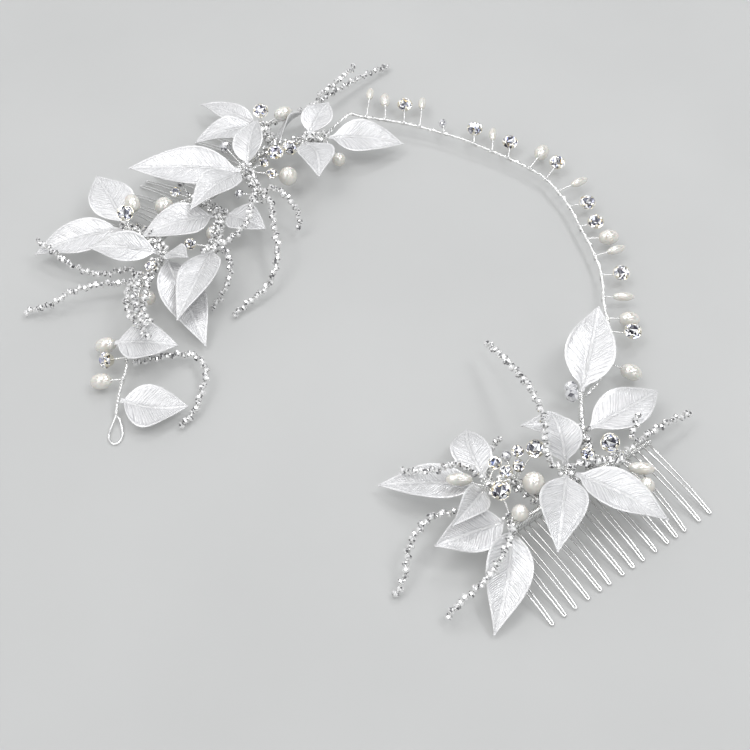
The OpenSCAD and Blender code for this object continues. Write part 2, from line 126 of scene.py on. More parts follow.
def evenRoute(points, step):  # the same route in equal steps
    reach = reachAlong(points)
    stops = np.linspace(0, reach[-1], max(2, round(reach[-1] / step) + 1))
    return np.stack([np.interp(stops, reach, points[:, i]) for i in range(3)], axis=1)


def sidesAlong(points):  # side and upper directions that don't twist on the way
    ahead = np.gradient(points, axis=0)
    ahead /= np.linalg.norm(ahead, axis=1)[:, None]
    start = np.cross(ahead[0], (0, 0, 1))
    if np.linalg.norm(start) < 0.1:
        start = np.cross(ahead[0], (0, 1, 0))
    sides = [unit(start)]
    for t in ahead[1:]:
        sides.append(unit(sides[-1] - t * np.dot(sides[-1], t)))
    sides = np.array(sides)
    return ahead, sides, np.cross(sides, ahead)


# a kind of wire: diameter, then radius, pitch, strands and points in a turn where it winds, then sides
def wound(points, kind, turn=0.0):  # the strands that wind round a route
    radius, pitch, strands, pointsPerTurn = kind[1:5]
    points = evenRoute(np.asarray(points, float), pitch / pointsPerTurn)
    side, up = sidesAlong(points)[1:]
    reach = reachAlong(points)
    paths = []
    for k in range(strands):
        angle = (2 * math.pi * (reach / pitch + k / strands) + turn)[:, None]
        paths.append(points + radius * (np.cos(angle) * side + np.sin(angle) * up))
    return paths


def bentWires(name, kind, paths):  # one mesh of round wires, each along its path
    deselect()
    bpy.ops.curve.primitive_nurbs_path_add()
    wire = named(name)
    shape = wire.data
    shape.splines.clear()
    shape.dimensions = "3D"
    shape.bevel_depth = kind[0] / 2 * mm
    shape.bevel_resolution = kind[-1] // 2 - 2
    shape.use_fill_caps = True
    for path in paths:
        spline = shape.splines.new("POLY")
        spline.points.add(len(path) - 1)
        spline.points.foreach_set("co", np.c_[inMetres(path), np.ones(len(path))].ravel())
    bpy.ops.object.convert(target="MESH")
    toMode("EDIT")
    bpy.ops.mesh.select_all(action="SELECT")
    bpy.ops.mesh.remove_doubles(threshold=meetsWithin)
    faceOutwards()
    bpy.ops.object.shade_smooth_by_angle(angle=math.radians(creaseDeg))
    return wire


def joined(name, pieces):
    pick(*pieces)
    if len(pieces) > 1:
        bpy.ops.object.join()
    whole = named(name)
    bpy.ops.object.transform_apply(location=True, rotation=True, scale=True)
    return whole


def turnedTo(direction, turn=0.0):  # turns +Z to a direction
    aimed = Vector(direction).to_track_quat("Z", "Y").to_matrix().to_4x4()
    return aimed @ Matrix.Rotation(turn, 4, "Z")


def copiesAt(name, places):
    # a place is: master, middle on the grid in mm, direction of its axis, turn, size in mm as 3 numbers
    copies = []
    for master, middle, direction, turn, size in places:
        copy = master.copy()
        copy.data = master.data.copy()
        bpy.context.collection.objects.link(copy)
        scale = Matrix.Diagonal((*[s * mm for s in size], 1))
        copy.matrix_world = Matrix.Translation(inMetres(middle)) @ turnedTo(direction, turn) @ scale
        copies.append(copy)
    return joined(name, copies)


def glintFacets(piece):  # a random number for each facet, by its place, because operators vary their order; the finishes paint glints and dark reflections from it
    order = np.lexsort(np.round(rowsOf(piece.data.polygons, "center") / meetsWithin).T)
    tints = np.empty(len(order), np.float32)
    tints[order] = draws.random(len(order))
    piece.data.attributes.new("facetTint", "FLOAT", "FACE").data.foreach_set("value", tints)


def finished(piece, material, slotName, *nodes):
    piece.data.materials.append(material)
    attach(piece, "root")
    if nodes:
        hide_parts(*nodes)
    return piece


def wirePiece(name, kinds, paths, material, *nodes):  # a piece of several kinds of wire
    wires = [bentWires(part, kinds[part], lines) for part, lines in paths.items()]
    return finished(joined(name, wires), material, "silver_wire", *nodes)


def newMaterial(name, sockets):  # socket names have _ for a space
    material = bpy.data.materials.new(name)
    material.use_nodes = True
    shader = material.node_tree.nodes["Principled BSDF"]
    for socket, value in sockets.items():
        shader.inputs[socket.replace("_", " ")].default_value = value
    return material, material.node_tree, shader


# settings are properties, or sockets, named with _ for a space or as i0 for the first
def added(tree, kind, **settings):
    node = tree.nodes.new("ShaderNode" + kind)
    for key, value in settings.items():
        name = int(key[1:]) if key[1:].isdigit() else key.replace("_", " ")
        if isinstance(value, bpy.types.NodeSocket):
            tree.links.new(value, node.inputs[name])
        elif name in range(3) or name in node.inputs:
            node.inputs[name].default_value = value
        else:
            setattr(node, key, value)
    return node


def noise(tree, scale, detail, place=None):
    place = place or added(tree, "TexCoord").outputs["Object"]
    return added(tree, "TexNoise", Vector=place, Scale=scale, Detail=detail).outputs["Fac"]


def attribute(tree, name):
    return added(tree, "Attribute", attribute_name=name).outputs["Fac"]


def ramp(tree, source, *stops):  # a stop: place from 0 to 1, colour or grey
    node = added(tree, "ValToRGB", Fac=source)
    while len(node.color_ramp.elements) < len(stops):
        node.color_ramp.elements.new(0.5)
    for element, (position, colour) in zip(node.color_ramp.elements, stops):
        element.position = position
        element.color = (*np.broadcast_to(colour, 3), 1)
    return node.outputs["Color"]


def mapped(tree, source, low, high, first=0.0, last=1.0):  # the source's first gives low, its last gives high
    ends = {"From_Min": first, "From_Max": last, "To_Min": low, "To_Max": high}
    return added(tree, "MapRange", Value=source, **ends).outputs[0]


def bumped(tree, source, strength, depth):  # depth in metres
    return added(tree, "Bump", Strength=strength, Distance=depth, Height=source).outputs[0]


# cloudMix and silkMix: how far a noise shifts the tone; streak: the bump's strength and depth
leafFinish = {
    # tones: from the painted shade of the grooves up to the painted highlight of the ridges, midrib and rim
    "tones": [(0, (0.48, 0.48, 0.49)), (0.45, (0.655, 0.655, 0.66)), (1, 0.79)],
    "roughness": (0.15, 0.36), "streak": (1, 0.00026), "streakScale": (85, 4, 1), "silkMix": 0.9,
    "cloudScale": 140, "cloudMix": 0.5, "detail": 3,
    "shader": {"Metallic": 0.3, "Coat_Weight": 0.3, "Coat_Roughness": 0.13, "Specular_IOR_Level": 0.6}}


def makeLeafCoat():  # satin lacquer, with painted shade in the vein grooves and painted highlight on the ridges, midrib and rim, and fine streaks along the veins
    mat, tree, shader = newMaterial("leafCoat", leafFinish["shader"])
    blade = added(tree, "UVMap", uv_map="UVMap").outputs["UV"]
    along = added(tree, "Mapping", Vector=blade, Scale=leafFinish["streakScale"]).outputs["Vector"]
    cloud = noise(tree, leafFinish["cloudScale"], leafFinish["detail"])
    streak = noise(tree, 1, leafFinish["detail"], along)
    # painted shade and highlight, by the relief
    level = attribute(tree, "reliefShade")
    for source, mix, clamp in ((cloud, leafFinish["cloudMix"], False), (streak, leafFinish["silkMix"], True)):
        shift = added(tree, "Math", operation="MULTIPLY_ADD", i0=source, i1=mix, i2=-mix / 2).outputs[0]
        level = added(tree, "Math", operation="ADD", use_clamp=clamp, i0=level, i1=shift).outputs[0]
    tree.links.new(ramp(tree, level, *leafFinish["tones"]), shader.inputs["Base Color"])
    tree.links.new(mapped(tree, streak, *leafFinish["roughness"]), shader.inputs["Roughness"])
    tree.links.new(bumped(tree, streak, *leafFinish["streak"]), shader.inputs["Normal"])
    return mat


silverFinish = {
    "dull": 0.93, "dullAt": 0.3, "brightAt": 0.65, "rough": (0.9, 1.2), "cloud": (420, 3),
    "scratch": ((5200, 2), 0.12, 0.00001)}


def silver(colour, roughness):  # dulled and roughened in clouds, with fine scratches
    dull = [c * silverFinish["dull"] for c in colour]
    low, high = silverFinish["rough"]
    cloud, dullAt, brightAt = silverFinish["cloud"], silverFinish["dullAt"], silverFinish["brightAt"]
    return {"shader": {"Metallic": 1}, "bump": silverFinish["scratch"],
            "tones": [cloud, (dullAt, dull), (brightAt, colour)],
            "roughness": (cloud, roughness * low, roughness * high)}


# a source is an attribute or a noise's scale and detail; after it stand the colour stops, the range given and
# the range read, or the bump's strength and depth
finishes = {
    "silverWire": silver((0.98, 0.98, 0.97), 0.2),
    "combSilver": silver((0.78, 0.78, 0.77), 0.24),
    "paleGold": silver((0.9, 0.86, 0.74), 0.16),
    "pearlCoat": {
        "shader": {"Metallic": 0.15, "Coat_Weight": 1, "Coat_Roughness": 0.04, "Coat_IOR": 2.5,
                   "Specular_IOR_Level": 0.8, "Subsurface_Weight": 0.1, "Subsurface_Scale": 0.001},
        "tones": [(260, 2), (0.3, (0.68, 0.645, 0.57)), (0.5, (0.7, 0.68, 0.62)),
                  (0.7, (0.72, 0.7, 0.66))],
        "roughness": ((1800, 3), 0.19, 0.24)},
    # silver-lined glass: most facets painted white, partly the lining's own silver and partly painted glint;
    # a few painted dark, a painted reflection
    "seedGlass": {
        "shader": {"IOR": 1.55, "Transmission_Weight": 0.25, "Coat_Weight": 1, "Coat_Roughness": 0.04},
        "tones": ["facetTint", (0, 0.07), (0.12, (0.15, 0.15, 0.16)), (0.19, 0.55),
                  (0.25, (0.95, 0.945, 0.94)), (1, (1, 1, 0.99))],
        "metal": ("facetTint", 0.15, 0.95, 0.45, 0.6), "roughness": ("facetTint", 0.3, 0.08)},
    # a cut crystal with no foil: grey and white facets, painted reflections and glints
    "clearGlass": {
        "shader": {"IOR": 1.6, "Transmission_Weight": 0.35, "Coat_Weight": 1, "Coat_Roughness": 0.03},
        "tones": ["facetTint", (0, (0.1, 0.1, 0.12)), (0.14, (0.22, 0.22, 0.25)),
                  (0.25, (0.66, 0.67, 0.71)), (0.4, (0.95, 0.95, 0.97)), (1, 1)],
        "metal": ("facetTint", 0.1, 0.8, 0.4, 0.7), "roughness": ("facetTint", 0.16, 0.06)},
    # a foiled stone: black, grey, white, blue and gold facets, painted reflections and glints
    "cutStone": {
        "shader": {"Metallic": 0.92, "Coat_Weight": 1, "Coat_Roughness": 0.02},
        "tones": ["facetTint", (0, (0.02, 0.02, 0.03)), (0.17, (0.06, 0.06, 0.09)),
                  (0.25, (0.34, 0.35, 0.42)), (0.38, (0.74, 0.75, 0.8)), (0.5, 1), (0.9, 1),
                  (0.93, (0.42, 0.52, 0.96)), (0.97, (0.98, 0.8, 0.46))],
        "roughness": ("facetTint", 0.04, 0.14)},
    # the studio floor
    "palePaper": {
        "shader": {"Roughness": 0.75, "Specular_IOR_Level": 0.25, "Emission_Color": (0.97, 0.98, 0.97, 1),
                   "Emission_Strength": 0.18},
        "tones": [(9, 4), (0.3, (0.3264, 0.32928, 0.3264)), (0.7, (0.3536, 0.35672, 0.3536))],
        "bump": ((1500, 2), 0.15, 0.00005)},
}


def makeFinish(name):
    finish = finishes[name]
    mat, tree, shader = newMaterial(name, finish["shader"])
    for key, socket, make in (("tones", "Base Color", ramp), ("roughness", "Roughness", mapped),
                              ("metal", "Metallic", mapped), ("bump", "Normal", bumped)):
        if key in finish:
            source, *values = finish[key]
            source = attribute(tree, source) if isinstance(source, str) else noise(tree, *source)
            tree.links.new(make(tree, source, *values), shader.inputs[socket])
    return mat


leafCoat = makeLeafCoat()
(silverWire, combSilver, paleGold, pearlCoat,
 seedGlass, clearGlass, cutStone, palePaper) = map(makeFinish, finishes)
print("finishes made")


# a light: name, place, size, power, colour; it aims at the middle of the floor
studio = {
    "cameraAt": (0.009, -0.3354, 0.36), "tiltDeg": 40, "lensMm": 66, "sensorMm": 36, "floorSize": 14,
    "lights": [
        ("keySoftbox", (-0.4, 0, 1), 0.6, 3, (1, 0.995, 0.985)),
        ("fillSoftbox", (0.5, -0.05, 0.95), 0.28, 2.5, (0.98, 0.99, 1)),
        ("backSoftbox", (0.3, 0.6, 0.95), 0.24, 2, (0.97, 0.98, 1)),
        ("frontLamp", (0.15, -0.5, 1.1), 0.12, 1, (1, 1, 1))],
    "skyLow": (0.86, 0.88, 0.88, 1), "skyScale": 3.2, "skyRise": (0.24, 0.4), "skyStrength": 0.8,
    "skyPanels": [
        (0.4, (0.12, 0.12, 0.13)), (0.46, (0.7, 0.71, 0.73)), (0.56, (0.9, 0.9, 0.92)),
        (0.62, (2.7, 2.7, 2.75))]}


def makeCamera():
    deselect()
    bpy.ops.object.camera_add(location=studio["cameraAt"], rotation=(math.radians(studio["tiltDeg"]), 0, 0))
    camera = bpy.context.object
    camera.data.lens = studio["lensMm"]
    camera.data.sensor_width = studio["sensorMm"]
    bpy.context.scene.camera = camera
    view = bpy.context.scene.view_settings
    view.view_transform = "Standard"
    view.look = "None"


def makeFloor():
    deselect()
    bpy.ops.mesh.primitive_plane_add(size=studio["floorSize"])
    floor = named("studioFloor")
    floor.data.materials.append(palePaper)


def makeLights():
    for name, spot, size, power, colour in studio["lights"]:
        aim = (-Vector(spot)).to_track_quat("-Z", "Y").to_euler()
        bpy.ops.object.light_add(type="AREA", location=spot, rotation=aim)
        lamp = named(name)
        lamp.data.size = size
        lamp.data.energy = power
        lamp.data.color = colour


def makeSky():  # soft bright and dark panels overhead, for the gloss to mirror
    world = bpy.data.worlds.new("studioWorld")
    bpy.context.scene.world = world
    world.use_nodes = True
    tree = world.node_tree
    heading = added(tree, "TexCoord").outputs["Generated"]
    height = added(tree, "SeparateXYZ", Vector=heading).outputs["Z"]
    panels = ramp(tree, noise(tree, studio["skyScale"], 1, heading), *studio["skyPanels"])
    first, last = studio["skyRise"]
    above = ramp(tree, height, (first, 0), (last, 1))
    sky = added(tree, "MixRGB", Fac=above, Color1=studio["skyLow"], Color2=panels).outputs["Color"]
    back = tree.nodes["Background"]
    tree.links.new(sky, back.inputs["Color"])
    back.inputs["Strength"].default_value = studio["skyStrength"]


makeCamera()
makeFloor()
makeLights()
makeSky()
print("studio made")


# toothWire and spineWire are the solid's; tooth, spine and winding are drawn here
comb = {
    "width": 70, "teeth": 15, "toothWire": 0.8, "toothGap": 2.2, "curveRadius": 95, "curveDeg": 18,
    "spineWire": 1.8, "bindingWidth": 3.0, "pinch": 0.65, "sway": 0.6, "startAngle": -0.006,
    "tooth": (0.68, 8), "toothSteps": 24, "tipSteps": 11, "spine": (1.4, 8), "spineSteps": 8,
    "winding": (0.5, 0.77, 0.62, 1, 9, 6), "right": ((71, -79.5), 36.87), "left": ((-54, 54), 233.13)}
curve = math.radians(comb["curveDeg"])
spineHeight = (comb["toothWire"] / 2 + comb["curveRadius"] * (1 - math.cos(curve))
               + comb["toothGap"] / 2 * math.sin(curve))
bindingHeight = spineHeight + (comb["spineWire"] + comb["bindingWidth"]) / 2 + pieceGap


def onComb(side, along, height):  # a place over a comb's spine, along it from its middle
    (x, y), deg = comb[side]
    angle = math.radians(deg)
    return np.array([x + along * math.cos(angle), y + along * math.sin(angle), height])


# knots: place on the grid and diameter, mm
knots = {
    "rightVine": ((78, -41, 7), 3), "rightStalk": ((77, -57, 8), 3), "rightMid": ((70, -74, 11), 3),
    "rightEnd": ((87, -68, 9), 3), "rightFront": ((52, -91, 8.5), 3), "rightLeft": ((45, -79, 9), 3),
    "rightStones": ((54, -76, 8), 3), "leftBack": ((-35, 96, 7), 3), "leftFan": ((-38.5, 65, 11.5), 3),
    "leftSprays": ((-33, 53, 10), 3), "leftMid": ((-47, 44, 9), 3), "leftInner": ((-48, 27, 9), 3),
    "leftFront": ((-66, 23, 10), 3), "leftOut": ((-81, 37.5, 8), 3), "leftTail": ((-72, 13, 7), 3),
    "leftStub": ((-28, 82, 8), 3), "leftTeeth": ((-59, 53, 8.5), 3), "leftPair": ((-17, 84.5, 10), 3),
    "leftVine": ((-10, 88, 8.5), 3), "tailWireA": ((-79.5, -18.3, 7.8), 1.2),
    "tailWireB": ((-75.7, -40, 3.5), 1.2)}

vine = {
    "strands": (0.6, 0.3, 2.6, 2, 9, 6), "thread": (0.32, 0.68, 5.2, 1, 12, 4), "threadTurn": 1.0,
    "route": [
        (-9.3, 89.8, 8.2), (-5, 98, 7), (0, 104.5, 6.5), (4, 103.5, 6), (11, 102, 6), (19, 100, 6),
        (27, 97.5, 6), (34, 95, 5.5), (42, 91.5, 5.5), (48, 88, 5.5), (55, 84, 5), (61, 80, 5), (69, 74, 5),
        (75, 68, 5), (79, 61, 5), (83, 52, 5), (86, 41, 5), (89, 30, 5), (91, 19, 5), (91, 9, 5),
        (90.5, 2, 5), (91, -5, 5), (91, -12, 5.5), (90, -20, 5.5), (88, -26, 6), (85.5, -32.5, 5.5),
        (79.9, -40.1, 6.2)]}
# the neck is the winding that closes the eye
tail = {
    "strands": (0.6, 0.3, 2.6, 2, 9, 6), "eyeWire": (0.8, 8), "neck": (0.4, 0.55, 0.55, 1, 8, 6),
    "neckStep": 0.3, "neckPoints": 12,
    "route": [
        (-73.3, 10.5, 6.5), (-73.7, 3, 6.5), (-73.5, -7, 6.5), (-73.6, -16, 6.5), (-74, -24, 6),
        (-74.2, -29, 5.5), (-75.2, -34.5, 4.5), (-75.7, -40, 3.5), (-76, -45, 1.6)],
    "eye": [
        (-77, -49, 1), (-77.6, -52.5, 0.6), (-76.8, -55, 0.5), (-75.3, -56, 0.5), (-73.8, -55, 0.5),
        (-73.1, -52.5, 0.6), (-73.8, -48.8, 1), (-74.8, -46.2, 1.6)]}


def alongRoute(route, t):  # the place t points along a route
    first, steps = min(int(t), len(route) - 2), 40
    return smoothRoute(route, steps)[first * steps + round((t - first) * steps)]


# knot, tip, width, roll, arch, fold, sway, distance of the stem end from the knot
leaves = {
    "leaf_r1": ("rightVine", (86, -10, 17), 17, -5, 3, 1.5, 0, 0),
    "leaf_r2": ("rightStalk", (104, -38, 6), 16, 0, 4, 1.5, 2, 0.6),
    "leaf_r3": ("rightMid", (100, -91, 8), 15, 0, 4, 1.5, 1, 1.3),
    "leaf_r4": ("rightMid", (64, -107, 15), 15, 0, 3, 1.5, 0, 0.6),
    "leaf_r5": ("rightMid", (66, -56, 17), 13, 0, 5, 1.5, 0, 0),
    "leaf_r6": ("rightStalk", (57, -56.5, 11), 10, 0, 2, 1, 0, 0),
    "leaf_r7": ("rightLeft", (40, -53, 4), 13, 0, 3, 1, -2, 2.1),
    "leaf_r8": ("rightLeft", (11, -75, 4), 12, 10, 3, 1.5, 0, 0.4),
    "leaf_r9": ("rightLeft", (33, -99, 17), 9, 25, 3, 2, 0, 0.6),
    "leaf_r10": ("rightFront", (28, -101, 9), 14, 20, 2, 1.5, 0, 0.3),
    "leaf_r11": ("rightFront", (45, -127, 1.5), 14.5, 8, 4, 1.5, -1, 0.9),
    "leaf_l1": ("leftBack", (-60, 111, 6), 10, 0, 2, 1, 0, 0.4),
    "leaf_l2": ("leftBack", (-60, 85, 8), 13, 0, 3, 1.5, 0, 0),
    "leaf_l3": ("leftFan", (-35.5, 89, 16), 13, 20, 3, 2, 0, 0.6),
    "leaf_l4": ("leftFan", (-83, 66, 12), 17, 15, 2.5, 1.5, 0, 0.6),
    "leaf_l5": ("leftFan", (-57, 39, 16), 14, 0, 4, 1.5, 0, 1.2),
    "leaf_l6": ("leftMid", (-75, 32, 9), 15, 10, 3, 1.5, 0, 1),
    "leaf_l7": ("leftMid", (-30, 36, 9), 14, 0, 2, 1, 0, 0),
    "leaf_l8": ("leftOut", (-95, 62.5, 11), 17, 0, 2, 1, 0, 0.6),
    "leaf_l9": ("leftOut", (-114, 28, 4), 15, 10, 3, 1.5, 0, 0),
    "leaf_l10": ("leftFront", (-93, 24, 11.5), 12, 20, 3, 1.5, 0, 0.4),
    "leaf_l11": ("leftFront", (-56, 15, 15.5), 9, 0, 1, 1, 0, 0.6),
    "leaf_l12": ("leftInner", (-58, -10, 10), 15, -12, 4, 1.5, -2, 0.4),
    "leaf_l13": ("leftFront", (-48.5, -15, 2.5), 16, 0, 2, 1.5, 0, 0.6),
    "leaf_l14": ("leftVine", (21, 88, 5), 15, -15, 3, 1.5, 0, 0.4),
    "leaf_l15": ("leftPair", (-8.5, 106, 11), 12.5, 0, 2, 1.5, 0, 1.3),
    "leaf_l16": ("leftPair", (-11, 59, 14), 14, 0, 2, 1, -2, 0),
    "leaf_l17": ("leftStub", (-18, 101.5, 10), 9, 60, 3, 1.5, 0, 0.4),
    "leaf_t1": ("tailWireA", (-57, -20.5, 9), 17, 0, 1.5, 1, 0, 0),
    "leaf_t2": ("tailWireB", (-52, -43, 4), 17, -5, 1, 1, 2, 0.1),
}
# widths and heights in mm, the rest in shares. bellyAt, bellyFullness and taper give the outline; slant,
# slantCurve and rootRun lean the veins; under narrowBelow, rim and midrib draw together
leafShape = {
    "veinPitch": 0.95, "columns": 24, "thickness": 0.42, "grooveDepth": 0.075, "rimHeight": 0.14,
    "midribHeight": 0.22, "midribTaper": 0.55, "ripple": 0.35, "rippleWaves": 1.6, "rootWidth": 1.8,
    "pointWidth": 0.7, "slant": (0.56, 1.15), "slantCurve": 0.9, "rootRun": 9,
    "bellyAt": (0.06, 0.94, 0.75), "bellyFullness": 0.9, "taper": 0.3, "narrowBelow": 2.4,
    "veinStrength": (0.25, 1.1), "veinSpread": 1.6, "endRun": 14, "cup": (1.3, 0.3, 0.5),
    # the last two: middle and swing of the painted shade and highlight along the veins, and the painted shade
    # beside midrib and rim
    "tone": (0.55, 0.5), "besideShade": 0.35}
veinProfile = np.array([-1, 0.1, 0.4, 0.1])  # height over one vein, from groove to groove
midribStops = np.array([0, 0.22, 0.45, 0.7])  # columns beside the midrib, mm from it
rimStops = np.array([0.75, 0.42, 0.18, 0])  # columns beside the rim, mm in from it
midribRise = np.array([1, 0.75, 0.15, -0.2])
rimRise = np.array([-0.15, 0.8, 1, 0.35])


def leafFrame(row):
    knotName, tip, _, rollDeg, *_, distance = row
    place, diameter = knots[knotName]
    axis = unit(np.subtract(tip, place))
    root = place + axis * (diameter / 2 + pieceGap + distance)
    flat = unit(np.cross(axis, (0, 0, 1)))
    roll = math.radians(rollDeg)
    side = flat * math.cos(roll) + np.cross(flat, axis) * math.sin(roll)
    return np.array(root), axis, side, np.cross(side, axis), np.linalg.norm(tip - root)


def leafHalf(width, u):  # half the width at a share u of the length
    start, run, shift = leafShape["bellyAt"]
    swell = np.sin(np.pi * (np.clip(u - start, 0, 1) / run) ** shift)
    swell = np.clip(swell, 0, 1) ** leafShape["bellyFullness"]
    least = np.where(u < 0.5, leafShape["rootWidth"], leafShape["pointWidth"]) / 2
    return np.maximum(least, width / 2 * swell * (1 - leafShape["taper"] * u ** 4))


def leafColumns(column, half, squeeze):  # how far from the midrib each column of points lies, mm
    lastMid, firstRim = len(midribStops) - 1, leafShape["columns"] // 2 - len(rimStops) + 1
    onMidrib, onRim = column <= lastMid, column >= firstRim
    inner = midribStops[-1] * squeeze
    outer = half - rimStops[0] * squeeze
    out = inner + (outer - inner) * np.clip((column - lastMid) / (firstRim - lastMid), 0, 1)
    out = np.where(onMidrib, midribStops[np.clip(column, 0, lastMid)] * squeeze, out)
    out = np.where(onRim, half - rimStops[np.clip(column - firstRim, 0, len(rimStops) - 1)] * squeeze, out)
    return out, onMidrib, onRim, firstRim


def makeLeaf(name, row):
    root, axis, side, normal, length = leafFrame(row)
    width, arch, fold, sway = row[2], row[4], row[5], row[6]
    veins = round(length / leafShape["veinPitch"])
    deselect()
    bpy.ops.mesh.primitive_grid_add(x_subdivisions=veins * len(veinProfile),
                                    y_subdivisions=leafShape["columns"], size=2)
    leaf = named(name + "Blade")
    grid = rowsOf(leaf.data.vertices, "co")
    s, hand, c = (grid[:, 0] + 1) / 2, np.sign(grid[:, 1]), np.abs(grid[:, 1])  # along, which half, across
    # rows lean towards the point, as the veins do
    most, perLength = leafShape["slant"]
    slant = min(most, perLength * width / length)
    rootRun = leafShape["rootRun"]
    fade = np.exp(-rootRun * s)
    u = s + slant * c ** leafShape["slantCurve"] * (1 - s) * (1 - fade)
    spread = 1 + slant * c * (rootRun * (1 - s) * fade - (1 - fade))
    spread = np.clip(leafShape["veinSpread"] * spread, 0, 1)
    half = leafHalf(width, u)
    squeeze = np.minimum(1, half / leafShape["narrowBelow"])
    column = np.round(c * leafShape["columns"] / 2).astype(int)
    out, onMidrib, onRim, firstRim = leafColumns(column, half, squeeze)
    v = out / half
    swell = np.sin(np.pi * np.clip(u, 0, 1))
    # a ridge for each vein, some stronger, faded out at midrib, rim and ends
    line = np.round(s * veins * len(veinProfile)).astype(int)
    weakest, more = leafShape["veinStrength"]
    strength = draws.random((2, veins + 1))[(hand > 0).astype(int), line // len(veinProfile)]
    strength = weakest + more * strength
    wave = veinProfile[line % len(veinProfile)] * spread
    blade = np.where(onMidrib | onRim, 0.0, 1.0)
    ends = np.clip(s * leafShape["endRun"], 0, 1) * np.clip((1 - s) * leafShape["endRun"], 0, 1)
    rise = leafShape["grooveDepth"] * wave * strength * blade * ends
    midribAt = midribRise[np.clip(column, 0, len(midribRise) - 1)] * squeeze
    rise += np.where(onMidrib, leafShape["midribHeight"] * midribAt * (1 - leafShape["midribTaper"] * s), 0)
    rimAt = rimRise[np.clip(column - firstRim, 0, len(rimRise) - 1)] * squeeze
    rise += np.where(onRim, leafShape["rimHeight"] * rimAt * ends, 0)
    phase = draws.random(2) * anyTurn
    ripple = np.sin(2 * np.pi * leafShape["rippleWaves"] * u + np.where(hand > 0, phase[0], phase[1]))
    ripple *= leafShape["ripple"] * v ** 3 * swell
    steep, flat, drop = leafShape["cup"]
    lift = arch * swell + fold * swell * (steep * v - flat * v * v - drop) + rise + ripple
    points = root + np.outer(length * u, axis) + np.outer(hand * out + sway * swell, side)
    points += np.outer(lift, normal)
    leaf.data.vertices.foreach_set("co", inMetres(points).astype(np.float32).ravel())
    # painted shade and highlight by the relief: painted highlight on the ridges, midrib and rim, painted
    # shade in the grooves and beside midrib and rim
    reliefShade = leaf.data.attributes.new("reliefShade", "FLOAT", "POINT")
    middle, swing = leafShape["tone"]
    tone = np.clip(middle + swing * wave * strength * ends, 0, 1)
    beside = np.where((column <= 1) | (column > firstRim), 1, leafShape["besideShade"])
    tone = np.where(blade > 0, tone, beside)
    reliefShade.data.foreach_set("value", tone.astype(np.float32))
    leaf.data.update()
    if sum(face.normal @ Vector(normal) for face in leaf.data.polygons) < 0:
        leaf.data.flip_normals()
    pick(leaf)
    wall = leaf.modifiers.new("wall", "SOLIDIFY")
    wall.thickness = leafShape["thickness"] * mm
    wall.offset = 0
    bpy.ops.object.modifier_apply(modifier="wall")
    bpy.ops.object.shade_smooth_by_angle(angle=math.radians(creaseDeg))
    return finished(leaf, leafCoat, "leaf_coat", name)


for name, row in leaves.items():
    makeLeaf(name, row)
print("leaves made:", len(leaves))


# rows, ends first: above this height, points move to this height (None: stay) and out by this
seedShape = {"sides": 8, "rings": 6, "rows": [(0.49, 0.42, 1), (0.4, 0.46, 0.95), (0.1, None, 1.06)]}
pearlShape = {"sides": 24, "rings": 16, "rows": [(0.499, 0.42, 1), (0.488, None, 0.55)]}


def makeBead(name, shape):  # from a ball, 1 across and 1 long, with flat ends, its axis along Z
    deselect()
    bpy.ops.mesh.primitive_uv_sphere_add(segments=shape["sides"], ring_count=shape["rings"], radius=0.5)
    bead = named(name)
    for vertex in bead.data.vertices:
        for above, height, wide in shape["rows"]:
            if abs(vertex.co.z) > above:
                vertex.co.z = math.copysign(height or abs(vertex.co.z), vertex.co.z)
                vertex.co.xy *= wide
                break
    return bead


# table: radius and height; a ring below it: step down, radius, turn in degrees
stoneShape = {
    "sides": 8, "dish": -0.05, "table": (0.26, 0.30), "level": 0.01,
    "rings": [
        (-0.08, 0.37, 22.5), (-0.11, 0.46, 0), (-0.05, 0.46, 0), (-0.16, 0.27, 22.5), (-0.10, 0.10, 0)]}


def extrude(up, wide, height=0):  # the selected faces
    bpy.ops.mesh.extrude_region_move(TRANSFORM_OT_translate={"value": (0, 0, up)})
    bpy.ops.transform.resize(value=(wide, wide, 1), center_override=(0, 0, height))


def makeGem():  # a cut stone, 1 across, its table up
    deselect()
    radius, height = stoneShape["table"]
    bpy.ops.mesh.primitive_circle_add(vertices=stoneShape["sides"], radius=radius, fill_type="NGON",
                                      location=(0, 0, height))
    gem = named("gem")
    bpy.ops.object.transform_apply(location=True)
    toMode("EDIT")
    bpy.ops.mesh.select_all(action="SELECT")
    turned = 0.0
    for drop, wide, turn in stoneShape["rings"]:
        height += drop
        extrude(drop, wide / radius, height)
        if turn != turned:
            bpy.ops.transform.rotate(value=math.radians(turn - turned), orient_axis="Z",
                                     center_override=(0, 0, 0))
        radius, turned = wide, turn
    bpy.ops.mesh.select_all(action="SELECT")
    bpy.ops.mesh.quads_convert_to_tris()
    faceOutwards()
    for face in gem.data.polygons:
        face.select = face.center.z > stoneShape["table"][1] - stoneShape["level"]
    toMode("EDIT")
    bpy.ops.mesh.select_mode(type="FACE")
    bpy.ops.mesh.dissolve_faces()
    bpy.ops.mesh.poke(offset=stoneShape["dish"])
    toMode("OBJECT")
    gem.data.shade_flat()
    return gem


# well: how deep and how narrow; clawAt: where in its quarter a claw stands, and the range, in degrees; claw:
# its steps, up and in
cupShape = {
    "sides": 16, "wall": 0.035, "base": 0.28, "rim": 0.48, "bottom": -0.31, "top": 0.06,
    "well": (-0.3, 0.55), "claws": 4, "clawAt": (56.25, 8), "upward": 0.9,
    "claw": [(0.09, 0.96), (0.08, 0.84), (0.03, 0.82)], "creaseDeg": 35}


